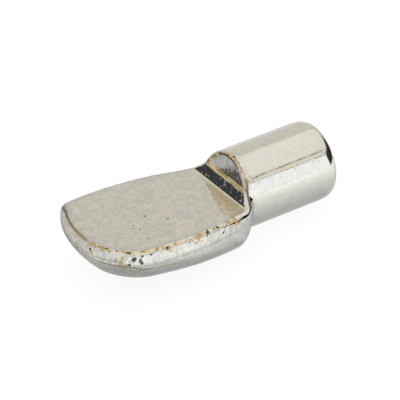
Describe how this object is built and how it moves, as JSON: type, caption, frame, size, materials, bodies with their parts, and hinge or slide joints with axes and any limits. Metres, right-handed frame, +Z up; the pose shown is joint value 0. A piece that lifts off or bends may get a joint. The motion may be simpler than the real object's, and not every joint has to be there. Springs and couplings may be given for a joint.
{
  "type": "shelf support pin",
  "caption": "Round steel pin with a leaning step and a spoon-shaped paddle; the pin plugs into a hole in a cabinet side and the paddle carries the shelf.",
  "frame": {"origin": "on the pin's axis at the mouth of its hole, just behind the paddle's shoulders", "axes": "+X along the pin to its free end, +Z up out of the seat that carries the shelf, +Y to the left seen from the paddle's nose"},
  "size_m": [0.017, 0.008, 0.005],
  "materials": {
    "nickel": "bright nickel plating over cold-formed steel, warm grey, with a fine orange peel, small pits and edges worn to a golden brown"
  },
  "bodies": {
    "root": {"shelf_pin": "nickel"}
  },
  "joints": []
}
